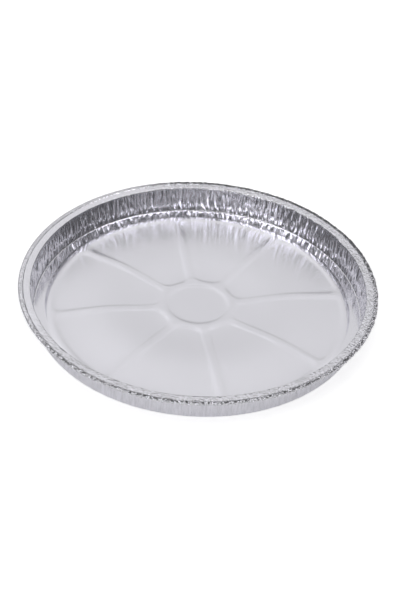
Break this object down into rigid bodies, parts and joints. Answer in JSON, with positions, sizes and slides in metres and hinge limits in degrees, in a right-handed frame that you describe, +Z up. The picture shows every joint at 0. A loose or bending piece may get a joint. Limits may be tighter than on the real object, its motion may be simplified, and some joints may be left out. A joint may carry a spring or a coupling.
{
  "type": "foil pie tin",
  "caption": "Wide shallow round pan pressed from one sheet of foil, with a steep pleated wall, a flat flange with a rolled edge, and raised rings and ribs in its slightly bulging base.",
  "frame": {"origin": "centre of the underside, on the surface that the tin stands on", "axes": "+Z up along the tin's axis, with a rib of the base 11.7 degrees round from +X"},
  "size_m": [0.3048, 0.3048, 0.0253],
  "materials": {
    "foil": "bright rolled foil, creased at the wall, satin on the flat of the base"
  },
  "bodies": {
    "root": {"tin": "foil"}
  },
  "joints": []
}
